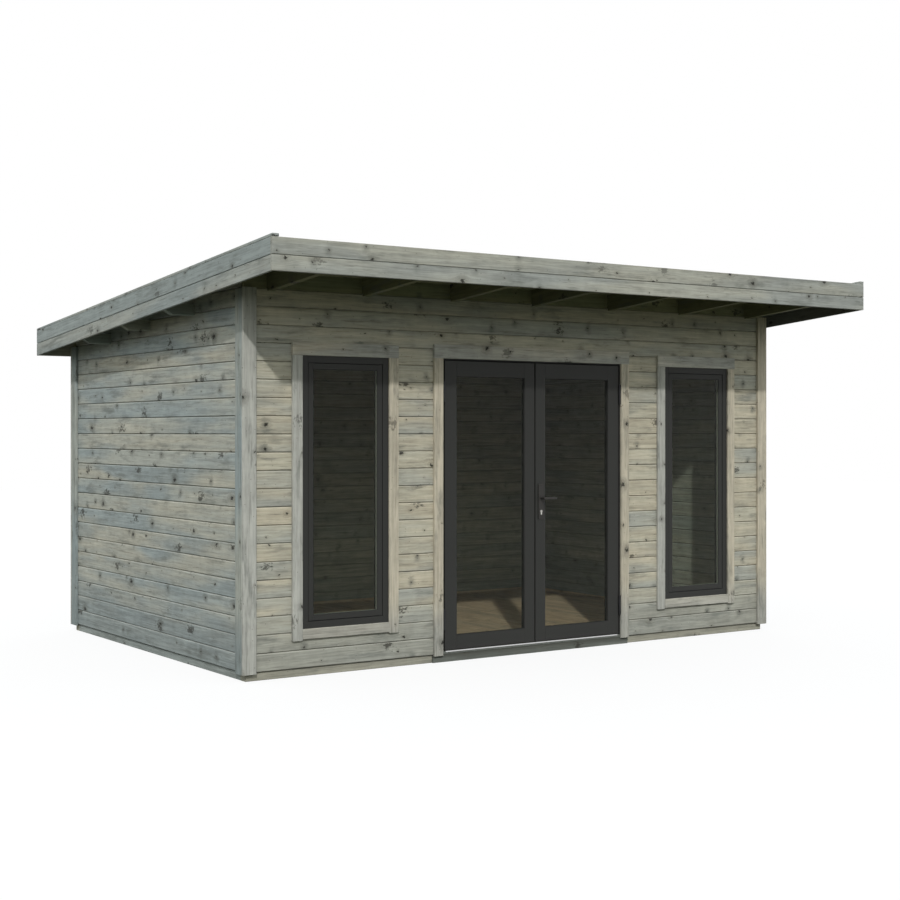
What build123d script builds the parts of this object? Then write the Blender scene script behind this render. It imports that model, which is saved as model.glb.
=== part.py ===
"""Timber garden house with a mono-pitch roof, glazed double doors and two tall windows.

Millimetres, +Z up. The front faces -Y and +X runs along it to the right. The origin lies on
the ground, under the centre of the roof's outline.
"""
from build123d import *
import math
import os

# Driving dimensions: walls and floor
wall_length = 4500
wall_depth = 2990
wall_thickness = 44
base_height = 52
base_width = 70
base_setback = 15
bearer_width = 60
bearer_count = 5
floor_thickness = 19
skirting_height = 20
skirting_thickness = 18
skirting_gap = 2

# Driving dimensions: roof
roof_pitch = 4.5
front_overhang = 808
side_overhang = 228
back_overhang = 200
rafter_width = 45
rafter_depth = 100
rafter_seat = 16
rafter_inset = 180
rafter_count = 7
purlin_width = 45
purlin_depth = 70
purlin_spacing = 738
purlin_count = 3
purlin_chamfer_length = 51
purlin_chamfer_height = 31
eave_block_thickness = 28
eave_block_setback = 8
deck_thickness = 18
felt_thickness = 3
fascia_thickness = 18
fascia_drop = 46
fascia_board_width = 92
fascia_top_board_width = 99
fascia_groove = 3
cap_width = 45
cap_height = 18

# Driving dimensions: corner boards and casings
cover_thickness = 20
corner_board_width = 94
corner_board_drop = 6
casing_width = 72
casing_overlap = 12
window_head_casing = 84
window_sill_casing = 66
window_casing_horn = 6
door_head_casing = 93

# Driving dimensions: windows, as seen between their casings
window_shift = 15
window_width = 643
window_head_drop = 10
window_sill_height = 302
window_frame_face = 44
window_frame_depth = 60
window_frame_proud = 8
window_stop_depth = 10
window_stop_lap = 14
sash_face = 35
sash_gap = 3
sash_recess = 3
window_glass_recess = 6
window_glass_thickness = 4
glass_lap = 10

# Driving dimensions: double door, as seen between its casings
door_width = 1564
door_height = 2044
header_height = 402
leaf_thickness = 40
leaf_proud = 5
leaf_side_gap = 20
leaf_meeting_gap = 10
leaf_top_gap = 14
leaf_floor_gap = 9
hinge_stile = 98
meeting_stile = 86
leaf_top_rail = 104
leaf_bottom_rail = 96
door_glass_recess = 13
door_glass_thickness = 4
jamb_reveal = 10
jamb_stop_lap = 17
jamb_stop_depth = 15
stop_clearance = 6
head_clearance = 6
head_stop_height = 24
threshold_plate = 3
threshold_lip = 8
threshold_nose = 4
threshold_end_gap = 18
threshold_back_gap = 4

# Driving dimensions: hinges, lever handle and lock
hinge_length = 140
hinge_inset = 207
hinge_gap = 0.5
knuckle_radius = 8
pin_radius = 4
pin_tip = 4
pin_clearance = 0.05
hinge_setout = 10
hinge_wing = 3
hinge_wing_depth = 30
hinge_neck = 8
plate_width = 44
plate_height = 246
plate_thickness = 8
plate_corner = 8
lever_height = 1084
lock_spacing = 92
plate_drop = 24
lever_length = 118
lever_width = 18
lever_thickness = 12
lever_edge_round = 3
lever_standoff = 35
lever_neck_radius = 9
lever_neck_gap = 1
spindle_radius = 5
spindle_clearance = 2
lock_barrel_radius = 8.5
lock_tail_width = 10
lock_tail_drop = 19.5
lock_proud = 3
lock_clearance = 0.3
seat_clearance = 0.3
cut_overrun = 5

# Places that follow from the driving dimensions
eave_height = door_height + header_height
window_height = door_height - window_head_drop - window_sill_height
roof_slope = math.tan(math.radians(roof_pitch))
roof_front = -(wall_depth + front_overhang + back_overhang) / 2
roof_back = -roof_front
roof_side = wall_length / 2 + side_overhang
front_face = roof_front + front_overhang
back_face = front_face + wall_depth
side_face = wall_length / 2
front_inside = front_face + wall_thickness
back_inside = back_face - wall_thickness
side_inside = side_face - wall_thickness
floor_top = base_height + floor_thickness
leaf_top = door_height - leaf_top_gap
leaf_bottom = floor_top + leaf_floor_gap
lock_height = lever_height - lock_spacing
plate_centre_height = lever_height - plate_drop
fascia_inside = roof_side - fascia_thickness
fascia_height = fascia_board_width + fascia_groove + fascia_top_board_width
cover_front = front_face - cover_thickness
cover_bottom = base_height - corner_board_drop
door_half = door_width / 2
cover_side = side_face + cover_thickness
window_centre = (door_half + casing_width + cover_side - corner_board_width) / 2 + window_shift


def rafter_z(y):
    """Height of the rafters' underside at depth y."""
    return eave_height - roof_slope * (y - front_face)


def front_plane(y):
    """Plane across the house at depth y, seen from the front: X to the right, Z up."""
    return Plane(origin=(0, y, 0), x_dir=(1, 0, 0), z_dir=(0, -1, 0))


def slope_band(x, y_near, y_far, low, high):
    """Sketch, at place x, of a strip that lies low to high above the rafters' underside."""
    with BuildSketch(Plane.YZ.offset(x)) as band:
        with BuildLine():
            Polyline(
                (y_near, rafter_z(y_near) + low),
                (y_far, rafter_z(y_far) + low),
                (y_far, rafter_z(y_far) + high),
                (y_near, rafter_z(y_near) + high),
                close=True,
            )
        make_face()
    return band.sketch


def wall_band(x, y_near, y_far, bottom, rise):
    """Sketch, at place x, of an upright strip with its top rise above the rafters' underside."""
    with BuildSketch(Plane.YZ.offset(x)) as band:
        with BuildLine():
            Polyline(
                (y_near, bottom),
                (y_far, bottom),
                (y_far, rafter_z(y_far) + rise),
                (y_near, rafter_z(y_near) + rise),
                close=True,
            )
        make_face()
    return band.sketch


def block(x_low, x_high, y_low, y_high, z_low, z_high):
    """Square-edged piece between two corners, for the part being built."""
    with Locations((x_low, y_low, z_low)):
        Box(
            x_high - x_low, y_high - y_low, z_high - z_low,
            align=(Align.MIN, Align.MIN, Align.MIN),
        )


def save(part, name):
    """Label a finished piece and write it."""
    part.label = name
    export_step(part, f"parts/{name}.step")


os.makedirs("parts", exist_ok=True)

# Base: a ring of ground beams with bearers between them, and the floor on top
base_front = front_face + base_setback
base_back = back_face - base_setback
base_side = side_face - base_setback

with BuildPart() as base_beams_long:
    block(-base_side, base_side, base_front, base_front + base_width, 0, base_height)
    block(-base_side, base_side, base_back - base_width, base_back, 0, base_height)
save(base_beams_long.part, "base_beams_long")

with BuildPart() as base_beams_cross:
    for x_low in (-base_side, base_side - base_width):
        block(x_low, x_low + base_width, base_front + base_width, base_back - base_width, 0, base_height)
save(base_beams_cross.part, "base_beams_cross")

bearer_spacing = 2 * base_side / (bearer_count + 1)
with BuildPart() as floor_bearers:
    for index in range(bearer_count):
        x_low = -base_side + (index + 1) * bearer_spacing - bearer_width / 2
        block(
            x_low, x_low + bearer_width,
            base_front + base_width, base_back - base_width, 0, base_height,
        )
save(floor_bearers.part, "floor_bearers")

with BuildPart() as floor_boards:
    block(-side_inside, side_inside, front_inside, back_inside, base_height, floor_top)
save(floor_boards.part, "floor_boards")

with BuildPart() as skirting:
    skirting_top = floor_top + skirting_height
    block(
        -side_inside, side_inside,
        back_inside - skirting_thickness, back_inside, floor_top, skirting_top,
    )
    for x_low in (-side_inside, side_inside - skirting_thickness):
        block(
            x_low, x_low + skirting_thickness,
            front_inside, back_inside - skirting_thickness - skirting_gap, floor_top, skirting_top,
        )
save(skirting.part, "skirting")

# Walls: solid boards, whose tops follow the roof
door_cut_half = door_half + casing_overlap
door_cut_top = door_height + casing_overlap
window_mid_height = window_sill_height + window_height / 2

for side_name, x_low, window_x in (
    ("left", -side_face, -window_centre),
    ("right", door_cut_half, window_centre),
):
    with BuildPart() as front_wall:
        extrude(
            wall_band(x_low, front_face, front_inside, base_height, 0),
            amount=side_face - door_cut_half,
        )
        with BuildSketch(front_plane(front_face)):
            with Locations((window_x, window_mid_height)):
                Rectangle(window_width, window_height)
        extrude(amount=-wall_thickness, mode=Mode.SUBTRACT)
    save(front_wall.part, f"front_wall_{side_name}")

with BuildPart() as front_wall_header:
    extrude(
        wall_band(-door_cut_half, front_face, front_inside, door_cut_top, 0),
        amount=2 * door_cut_half,
    )
save(front_wall_header.part, "front_wall_header")

with BuildPart() as back_wall:
    extrude(wall_band(-side_face, back_inside, back_face, base_height, 0), amount=2 * side_face)
save(back_wall.part, "back_wall")

wall_middle = (front_face + back_face) / 2
purlin_fronts = [
    wall_middle + (index - (purlin_count - 1) / 2) * purlin_spacing - purlin_width / 2
    for index in range(purlin_count)
]
for side_name, x_low in (("left", -side_face), ("right", side_inside)):
    with BuildPart() as side_wall:
        extrude(
            wall_band(x_low, front_inside, back_inside, base_height, rafter_depth),
            amount=wall_thickness,
        )
        for y_low in purlin_fronts:
            extrude(
                slope_band(x_low, y_low, y_low + purlin_width, -purlin_depth, 0),
                amount=wall_thickness, mode=Mode.SUBTRACT,
            )
    save(side_wall.part, f"{side_name}_wall")

# Corner boards: the front and back ones lap the edges of those on the sides
with BuildPart() as corner_boards_front_back:
    for x_low in (-cover_side, cover_side - corner_board_width):
        for y_low in (cover_front, back_face):
            extrude(
                wall_band(x_low, y_low, y_low + cover_thickness, cover_bottom, 0),
                amount=corner_board_width,
            )
save(corner_boards_front_back.part, "corner_boards_front_back")

with BuildPart() as corner_boards_sides:
    for x_low in (-cover_side, side_face):
        for y_low in (front_face, back_face - corner_board_width):
            extrude(
                wall_band(x_low, y_low, y_low + corner_board_width, cover_bottom, 0),
                amount=cover_thickness,
            )
save(corner_boards_sides.part, "corner_boards_sides")

# Casings round the windows and the door
window_half = window_width / 2
window_top = window_sill_height + window_height
with BuildPart() as window_side_casings:
    for window_x in (-window_centre, window_centre):
        for x_low in (window_x - window_half - casing_width, window_x + window_half):
            block(
                x_low, x_low + casing_width, cover_front, front_face,
                window_sill_height - window_sill_casing - window_casing_horn, window_top,
            )
save(window_side_casings.part, "window_side_casings")

with BuildPart() as window_cross_casings:
    for window_x in (-window_centre, window_centre):
        block(
            window_x - window_half - casing_width, window_x + window_half + casing_width,
            cover_front, front_face, window_top, window_top + window_head_casing,
        )
        block(
            window_x - window_half, window_x + window_half,
            cover_front, front_face, window_sill_height - window_sill_casing, window_sill_height,
        )
save(window_cross_casings.part, "window_cross_casings")

with BuildPart() as door_side_casings:
    for x_low in (-door_half - casing_width, door_half):
        block(x_low, x_low + casing_width, cover_front, front_face, cover_bottom, door_height)
save(door_side_casings.part, "door_side_casings")

with BuildPart() as door_head_casing_board:
    block(
        -door_half - casing_width, door_half + casing_width,
        cover_front, front_face, door_height, door_height + door_head_casing,
    )
save(door_head_casing_board.part, "door_head_casing")

# Windows: a frame that stands forward between its casings, with a stop behind the sash and its pane
frame_front = front_face - window_frame_proud
frame_back = frame_front + window_frame_depth
frame_inner_width = window_width - 2 * window_frame_face
frame_inner_height = window_height - 2 * window_frame_face
sash_front = frame_front + sash_recess
sash_back = frame_back - window_stop_depth
sash_width = frame_inner_width - 2 * sash_gap
sash_height = frame_inner_height - 2 * sash_gap
window_glass_width = sash_width - 2 * sash_face
window_glass_height = sash_height - 2 * sash_face
window_glass_front = sash_front + window_glass_recess

with BuildPart() as window_frames:
    with BuildSketch(front_plane(frame_front)):
        with Locations((-window_centre, window_mid_height), (window_centre, window_mid_height)):
            Rectangle(window_width, window_height)
            Rectangle(frame_inner_width, frame_inner_height, mode=Mode.SUBTRACT)
    extrude(amount=-window_frame_depth)
    stop_lap = 2 * (sash_gap + window_stop_lap)
    with BuildSketch(front_plane(sash_back)):
        with Locations((-window_centre, window_mid_height), (window_centre, window_mid_height)):
            Rectangle(frame_inner_width, frame_inner_height)
            Rectangle(frame_inner_width - stop_lap, frame_inner_height - stop_lap, mode=Mode.SUBTRACT)
    extrude(amount=-window_stop_depth)
save(window_frames.part, "window_frames")

with BuildPart() as window_sashes:
    with BuildSketch(front_plane(sash_front)):
        with Locations((-window_centre, window_mid_height), (window_centre, window_mid_height)):
            Rectangle(sash_width, sash_height)
            Rectangle(window_glass_width, window_glass_height, mode=Mode.SUBTRACT)
    extrude(amount=-(sash_back - sash_front))
    with BuildSketch(front_plane(window_glass_front - seat_clearance)):
        with Locations((-window_centre, window_mid_height), (window_centre, window_mid_height)):
            Rectangle(
                window_glass_width + 2 * (glass_lap + seat_clearance),
                window_glass_height + 2 * (glass_lap + seat_clearance),
            )
    extrude(amount=-(window_glass_thickness + 2 * seat_clearance), mode=Mode.SUBTRACT)
save(window_sashes.part, "window_sashes")

with BuildPart() as window_panes:
    with BuildSketch(front_plane(window_glass_front)):
        with Locations((-window_centre, window_mid_height), (window_centre, window_mid_height)):
            Rectangle(window_glass_width + 2 * glass_lap, window_glass_height + 2 * glass_lap)
    extrude(amount=-window_glass_thickness)
save(window_panes.part, "window_panes")

# Door frame: jambs and head with a stop behind the leaves, a sill with an apron down to the
# ground in front of the base, and the metal threshold
leaf_outside = front_face - leaf_proud
leaf_inside = leaf_outside + leaf_thickness
jamb_face = door_half - jamb_reveal
jamb_stop_face = door_half - leaf_side_gap - jamb_stop_lap
jamb_stop_front = leaf_inside + stop_clearance
jamb_back = jamb_stop_front + jamb_stop_depth
head_bottom = leaf_top + head_clearance

with BuildPart() as door_jambs:
    with BuildSketch(Plane.XY.offset(floor_top)):
        with BuildLine():
            Polyline(
                (jamb_stop_face, jamb_back),
                (jamb_stop_face, jamb_stop_front),
                (jamb_face, jamb_stop_front),
                (jamb_face, front_face),
                (door_cut_half, front_face),
                (door_cut_half, jamb_back),
                close=True,
            )
        make_face()
        mirror(about=Plane.YZ)
    extrude(amount=head_bottom - floor_top)
save(door_jambs.part, "door_jambs")

with BuildPart() as door_head_jamb:
    block(-door_cut_half, door_cut_half, front_face, jamb_back, head_bottom, door_cut_top)
    block(
        -jamb_stop_face, jamb_stop_face, jamb_stop_front, jamb_back,
        head_bottom - head_stop_height, head_bottom,
    )
save(door_head_jamb.part, "door_head_jamb")

with BuildPart() as door_sill:
    block(-door_cut_half, door_cut_half, front_face, front_inside, base_height, floor_top)
    apron_half = door_half + casing_width
    block(-apron_half, apron_half, front_face, base_front, 0, base_height)
save(door_sill.part, "door_sill")

with BuildPart() as door_threshold:
    threshold_top = floor_top + threshold_plate
    threshold_back = jamb_stop_front - threshold_back_gap
    threshold_half = jamb_face - threshold_end_gap
    with BuildSketch(Plane.YZ.offset(-threshold_half)):
        with BuildLine():
            Polyline(
                (front_face - threshold_nose, threshold_top),
                (threshold_back, threshold_top),
                (threshold_back, floor_top),
                (front_face, floor_top),
                (front_face, threshold_top - threshold_lip),
                (front_face - threshold_nose, threshold_top - threshold_lip),
                close=True,
            )
        make_face()
    extrude(amount=2 * threshold_half)
save(door_threshold.part, "door_threshold")

# Hinges: the lower half with the pin is on the jamb, the upper half is on the leaf's edge
leaf_edge = door_half - leaf_side_gap
pin_x = leaf_edge + hinge_setout
pin_y = front_face - hinge_setout
hinge_bottoms = (
    leaf_bottom + hinge_inset - hinge_length / 2,
    leaf_top - hinge_inset - hinge_length / 2,
)
half_hinge = (hinge_length - hinge_gap) / 2

with BuildPart() as frame_hinges:
    for hinge_bottom in hinge_bottoms:
        with BuildSketch(Plane.XY.offset(hinge_bottom)):
            with Locations((pin_x, pin_y)):
                Circle(knuckle_radius)
            with Locations((jamb_face, pin_y)):
                Rectangle(hinge_neck, hinge_setout, align=(Align.MIN, Align.MIN))
            mirror(about=Plane.YZ)
        extrude(amount=half_hinge)
        with BuildSketch(Plane.XY.offset(hinge_bottom + half_hinge)):
            with Locations((pin_x, pin_y), (-pin_x, pin_y)):
                Circle(pin_radius)
        extrude(amount=hinge_gap + half_hinge - pin_tip)
save(frame_hinges.part, "frame_hinges")

for side_name, side in (("left", -1), ("right", 1)):
    with BuildPart() as leaf_hinges:
        for hinge_bottom in hinge_bottoms:
            with BuildSketch(Plane.XY.offset(hinge_bottom + half_hinge + hinge_gap)):
                with Locations((side * pin_x, pin_y)):
                    Circle(knuckle_radius)
                with Locations((side * (leaf_edge + hinge_setout / 2), pin_y)):
                    Rectangle(hinge_setout, hinge_neck)
                with Locations((side * (leaf_edge + hinge_wing / 2), pin_y)):
                    Rectangle(hinge_wing, hinge_wing_depth, align=(Align.CENTER, Align.MIN))
                with Locations((side * pin_x, pin_y)):
                    Circle(pin_radius + pin_clearance, mode=Mode.SUBTRACT)
            extrude(amount=half_hinge)
    save(leaf_hinges.part, f"{side_name}_leaf_hinges")

# Door leaves: stiles and rails round one large pane
meeting_edge = leaf_meeting_gap / 2
leaf_width = leaf_edge - meeting_edge
leaf_height = leaf_top - leaf_bottom
pane_low = leaf_bottom + leaf_bottom_rail
pane_high = leaf_top - leaf_top_rail
pane_near = meeting_edge + meeting_stile
pane_far = leaf_edge - hinge_stile
pane_mid_x = (pane_near + pane_far) / 2
pane_mid_height = (pane_low + pane_high) / 2
pane_width = pane_far - pane_near
pane_height = pane_high - pane_low
pane_front = leaf_outside + door_glass_recess
lock_x = meeting_edge + meeting_stile / 2


def lock_profile(clearance, mode=Mode.ADD):
    """Section of the lock cylinder, a barrel with a rounded tail below it, for the sketch being made."""
    with Locations((lock_x, lock_height)):
        Circle(lock_barrel_radius + clearance, mode=mode)
    with Locations((lock_x, lock_height - lock_tail_drop / 2)):
        Rectangle(lock_tail_width + 2 * clearance, lock_tail_drop, mode=mode)
    with Locations((lock_x, lock_height - lock_tail_drop)):
        Circle(lock_tail_width / 2 + clearance, mode=mode)


for side_name, side in (("left", -1), ("right", 1)):
    with BuildPart() as leaf:
        with BuildSketch(front_plane(leaf_outside)):
            with Locations((side * (meeting_edge + leaf_edge) / 2, (leaf_bottom + leaf_top) / 2)):
                Rectangle(leaf_width, leaf_height)
            with Locations((side * pane_mid_x, pane_mid_height)):
                Rectangle(pane_width, pane_height, mode=Mode.SUBTRACT)
            if side_name == "right":
                with Locations((lock_x, lever_height)):
                    Circle(spindle_radius + spindle_clearance, mode=Mode.SUBTRACT)
                lock_profile(lock_clearance, mode=Mode.SUBTRACT)
        extrude(amount=-leaf_thickness)
        with BuildSketch(front_plane(pane_front - seat_clearance)):
            with Locations((side * pane_mid_x, pane_mid_height)):
                Rectangle(
                    pane_width + 2 * (glass_lap + seat_clearance),
                    pane_height + 2 * (glass_lap + seat_clearance),
                )
        extrude(amount=-(door_glass_thickness + 2 * seat_clearance), mode=Mode.SUBTRACT)
    save(leaf.part, f"{side_name}_leaf")

    with BuildPart() as leaf_pane:
        with BuildSketch(front_plane(pane_front)):
            with Locations((side * pane_mid_x, pane_mid_height)):
                Rectangle(pane_width + 2 * glass_lap, pane_height + 2 * glass_lap)
        extrude(amount=-door_glass_thickness)
    save(leaf_pane.part, f"{side_name}_leaf_pane")

# Lock on the right leaf: long plates on both faces, the cylinder and the lever handle
with BuildPart() as lock_plates:
    for plate_front in (leaf_outside - plate_thickness, leaf_inside):
        with BuildSketch(front_plane(plate_front)):
            with Locations((lock_x, plate_centre_height)):
                RectangleRounded(plate_width, plate_height, plate_corner)
            with Locations((lock_x, lever_height)):
                Circle(lever_neck_radius + pin_clearance, mode=Mode.SUBTRACT)
            lock_profile(lock_clearance, mode=Mode.SUBTRACT)
        extrude(amount=-plate_thickness)
save(lock_plates.part, "lock_plates")

with BuildPart() as lock_cylinder:
    lock_front = leaf_outside - plate_thickness - lock_proud
    with BuildSketch(front_plane(lock_front)):
        lock_profile(0)
    extrude(amount=-(leaf_thickness + 2 * (plate_thickness + lock_proud)))
save(lock_cylinder.part, "lock_cylinder")

with BuildPart() as lever_handle:
    lever_middle = (leaf_outside + leaf_inside) / 2
    neck_inner = leaf_thickness / 2 + lever_neck_gap
    arm_inner = leaf_thickness / 2 + plate_thickness + lever_standoff
    for direction in (-1, 1):
        with BuildSketch(front_plane(lever_middle + direction * arm_inner)):
            with Locations((lock_x + (lever_length - lever_width) / 2, lever_height)):
                SlotOverall(lever_length, lever_width)
        extrude(amount=-direction * lever_thickness)
    fillet(lever_handle.edges().filter_by(Plane.XZ), lever_edge_round)
    for direction in (-1, 1):
        with BuildSketch(front_plane(lever_middle + direction * neck_inner)):
            with Locations((lock_x, lever_height)):
                Circle(lever_neck_radius)
        extrude(amount=-direction * (arm_inner + lever_edge_round - neck_inner))
    with BuildSketch(front_plane(lever_middle - neck_inner)):
        with Locations((lock_x, lever_height)):
            Circle(spindle_radius)
    extrude(amount=-2 * neck_inner)
save(lever_handle.part, "lever_handle")

# Roof: purlins through the side walls, rafters notched over them, boards, covering and fascias
purlin_end = fascia_inside
with BuildPart() as purlins:
    for y_low in purlin_fronts:
        extrude(
            slope_band(-purlin_end, y_low, y_low + purlin_width, -purlin_depth, 0),
            amount=2 * purlin_end,
        )
    for end in (-1, 1):
        for y_low in purlin_fronts:
            low = rafter_z(y_low) - purlin_depth
            with BuildSketch(front_plane(y_low - cut_overrun)):
                with BuildLine():
                    Polyline(
                        (end * (purlin_end - purlin_chamfer_length), low),
                        (end * purlin_end, low + purlin_chamfer_height),
                        (end * (purlin_end + cut_overrun), low + purlin_chamfer_height),
                        (end * (purlin_end + cut_overrun), low - purlin_chamfer_height),
                        (end * (purlin_end - purlin_chamfer_length), low - purlin_chamfer_height),
                        close=True,
                    )
                make_face()
            extrude(amount=-(purlin_width + 2 * cut_overrun), mode=Mode.SUBTRACT)
save(purlins.part, "purlins")

rafter_spacing = 2 * (side_face - rafter_inset) / (rafter_count - 1)
rafter_lefts = [
    (index - (rafter_count - 1) / 2) * rafter_spacing - rafter_width / 2
    for index in range(rafter_count)
]
rafter_front = roof_front + fascia_thickness
rafter_back = roof_back - fascia_thickness
rafter_seats = [(front_face, front_inside), (back_inside, back_face)]
rafter_seats += [(y_low, y_low + purlin_width) for y_low in purlin_fronts]
with BuildPart() as rafters:
    for x_low in rafter_lefts:
        extrude(
            slope_band(x_low, rafter_front, rafter_back, -rafter_seat, rafter_depth),
            amount=rafter_width,
        )
    for x_low in rafter_lefts:
        for y_low, y_high in rafter_seats:
            extrude(
                slope_band(x_low - cut_overrun, y_low, y_high, -rafter_seat - cut_overrun, 0),
                amount=rafter_width + 2 * cut_overrun,
                mode=Mode.SUBTRACT,
            )
save(rafters.part, "rafters")

# Blocks close the space over the front and back walls between the rafters
block_starts = [-side_face] + [x_low + rafter_width for x_low in rafter_lefts]
block_ends = rafter_lefts + [side_face]
with BuildPart() as eave_blocks:
    for x_low, x_high in zip(block_starts, block_ends):
        for y_low in (
            front_face + eave_block_setback,
            back_face - eave_block_setback - eave_block_thickness,
        ):
            extrude(
                slope_band(x_low, y_low, y_low + eave_block_thickness, 0, rafter_depth),
                amount=x_high - x_low,
            )
save(eave_blocks.part, "eave_blocks")

deck_top = rafter_depth + deck_thickness
with BuildPart() as roof_boards:
    extrude(
        slope_band(-fascia_inside, rafter_front, roof_back, rafter_depth, deck_top),
        amount=2 * fascia_inside,
    )
save(roof_boards.part, "roof_boards")

with BuildPart() as roof_felt:
    extrude(
        slope_band(-fascia_inside, rafter_front, roof_back, deck_top, deck_top + felt_thickness),
        amount=2 * fascia_inside,
    )
save(roof_felt.part, "roof_felt")

# Fascias are pairs of boards with a groove between them, and the front one covers the sides' ends
fascia_boards = (
    (-fascia_drop, fascia_board_width),
    (-fascia_drop + fascia_board_width + fascia_groove, fascia_top_board_width),
)
with BuildPart() as front_fascia:
    for low, width in fascia_boards:
        extrude(
            slope_band(-roof_side, roof_front, rafter_front, low, low + width),
            amount=2 * roof_side,
        )
save(front_fascia.part, "front_fascia")

with BuildPart() as back_fascia:
    extrude(
        slope_band(-fascia_inside, rafter_back, roof_back, -fascia_drop, rafter_depth),
        amount=2 * fascia_inside,
    )
save(back_fascia.part, "back_fascia")

for side_name, x_low in (("left", -roof_side), ("right", fascia_inside)):
    with BuildPart() as side_fascia:
        for low, width in fascia_boards:
            extrude(
                slope_band(x_low, rafter_front, roof_back, low, low + width),
                amount=fascia_thickness,
            )
    save(side_fascia.part, f"{side_name}_fascia")

cap_low = fascia_height - fascia_drop
with BuildPart() as side_caps:
    for x_low in (-roof_side, roof_side - cap_width):
        extrude(
            slope_band(x_low, roof_front, roof_back, cap_low, cap_low + cap_height),
            amount=cap_width,
        )
save(side_caps.part, "side_caps")
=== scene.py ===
"""Looks of a timber garden house: weathered boards, painted joinery, glass, metal and felt.

Metres, +Z up. The front faces -Y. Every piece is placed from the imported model's boxes.
"""
import math
import random

import bmesh
import bpy
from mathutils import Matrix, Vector


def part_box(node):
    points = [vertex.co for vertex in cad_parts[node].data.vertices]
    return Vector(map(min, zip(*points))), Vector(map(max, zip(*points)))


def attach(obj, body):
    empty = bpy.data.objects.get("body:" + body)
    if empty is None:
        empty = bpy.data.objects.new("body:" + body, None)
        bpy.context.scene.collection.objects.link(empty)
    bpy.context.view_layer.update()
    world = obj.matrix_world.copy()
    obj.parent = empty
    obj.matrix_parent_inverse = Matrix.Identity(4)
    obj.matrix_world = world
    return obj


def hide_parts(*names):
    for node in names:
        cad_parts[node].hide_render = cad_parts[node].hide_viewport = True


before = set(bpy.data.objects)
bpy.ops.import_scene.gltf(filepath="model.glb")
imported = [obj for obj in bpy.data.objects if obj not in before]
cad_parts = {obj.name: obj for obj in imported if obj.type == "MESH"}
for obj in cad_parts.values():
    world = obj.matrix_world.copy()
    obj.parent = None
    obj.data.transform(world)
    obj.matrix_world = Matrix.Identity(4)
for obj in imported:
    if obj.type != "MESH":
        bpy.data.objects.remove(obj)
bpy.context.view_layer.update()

# Real sizes of the details that the frame leaves to this script
BOARD_PITCH = 0.114
BOARD_CHAMFER = 0.007
TRIM_EDGE = 0.0025
BEAM_EDGE = 0.003
PAINT_EDGE = 0.0015
FLOOR_PITCH = 0.113
FLOOR_CHAMFER = 0.002
DECK_PITCH = 0.096
DECK_CHAMFER = 0.004
FELT_WIDTH = 1.0
FELT_LAP = 0.08
FELT_STEP = 0.0014
BEAD_WIDTH = 0.003
BEAD_NOSE = 0.35 * BEAD_WIDTH
BEAD_SHARE = 0.7
SEAL_WIDTH = 0.0015
SEAL_DEPTH = 0.002
SEAL_EDGE = SEAL_DEPTH / 4
SPACER_DEPTH = 0.012
SPACER_WIDTH = 0.006
SCREW_RADIUS = 0.0042
SCREW_HEIGHT = 0.0012
SCREW_SIDES = 24
SCREW_INSET = 0.011
KEY_SLOT_WIDTH = 0.002
KEY_SLOT_HEIGHT = 0.009
KEY_SLOT_DEPTH = 0.0006

# Sizes that the boxes of nodes on both sides of the house don't give
ROOF_PITCH = math.radians(4.5)
CORNER_WIDTH = 0.094
WINDOW_CENTRE = 1.530
WINDOW_CENTRES = (-WINDOW_CENTRE, WINDOW_CENTRE)
CASING_WIDTH = 0.072
WINDOW_SILL_CASING = 0.066
WINDOW_FRAME_FACE = 0.044
SASH_FACE = 0.035
STOP_LAP = 0.017
STOP_DEPTH = 0.010
MEETING_STILE = 0.086
HINGE_STILE = 0.098
TOP_RAIL = 0.104
BOTTOM_RAIL = 0.096
JAMB_FACE = 0.022
JAMB_STOP_LAP = 0.027
JAMB_STOP_DEPTH = 0.015
HEAD_STOP = 0.024
SKIRTING_THICKNESS = 0.018
BEARER_COUNT = 5
BEARER_WIDTH = 0.060
BASE_WIDTH = 0.070
PURLIN_COUNT = 3
PURLIN_WIDTH = 0.045
PURLIN_DEPTH = 0.070
PURLIN_CHAMFER_LENGTH = 0.051
PURLIN_CHAMFER_HEIGHT = 0.031
RAFTER_COUNT = 7
RAFTER_WIDTH = 0.045
RAFTER_DEPTH = 0.100
RAFTER_SEAT = 0.016
EAVE_BLOCK = 0.028
DECK = 0.018
FELT_THICKNESS = 0.003
FASCIA = 0.018
FASCIA_BOARD = 0.092
FASCIA_TOP_BOARD = 0.099
FASCIA_GROOVE = 0.003
TONGUE_EDGE = FASCIA_GROOVE / 4
CAP_WIDTH = 0.045

# Lengths that differ by less than this count as equal
NEAR = 1e-6

# Tone of a board: from 0 to 1 by chance, or one that makes it all cool or all warm
COOL_TONE = 2.0
WARM_TONE = -1.0

# Dirt and painted light on an edge or a face: 1 is dark and below 0 pale; joints take dirt and painted
# shade, the apron and fascias' inner faces painted shade, upper edges a painted highlight
JOINT_DIRT_AND_SHADE = 1.0
PAINTED_EDGE_HIGHLIGHT = -1.0
APRON_PAINTED_SHADE = 0.85
UNDER_ROOF_PAINTED_SHADE = 0.9

# Each board's own place in the grain lies within this many metres
GRAIN_REACH = 60

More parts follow.
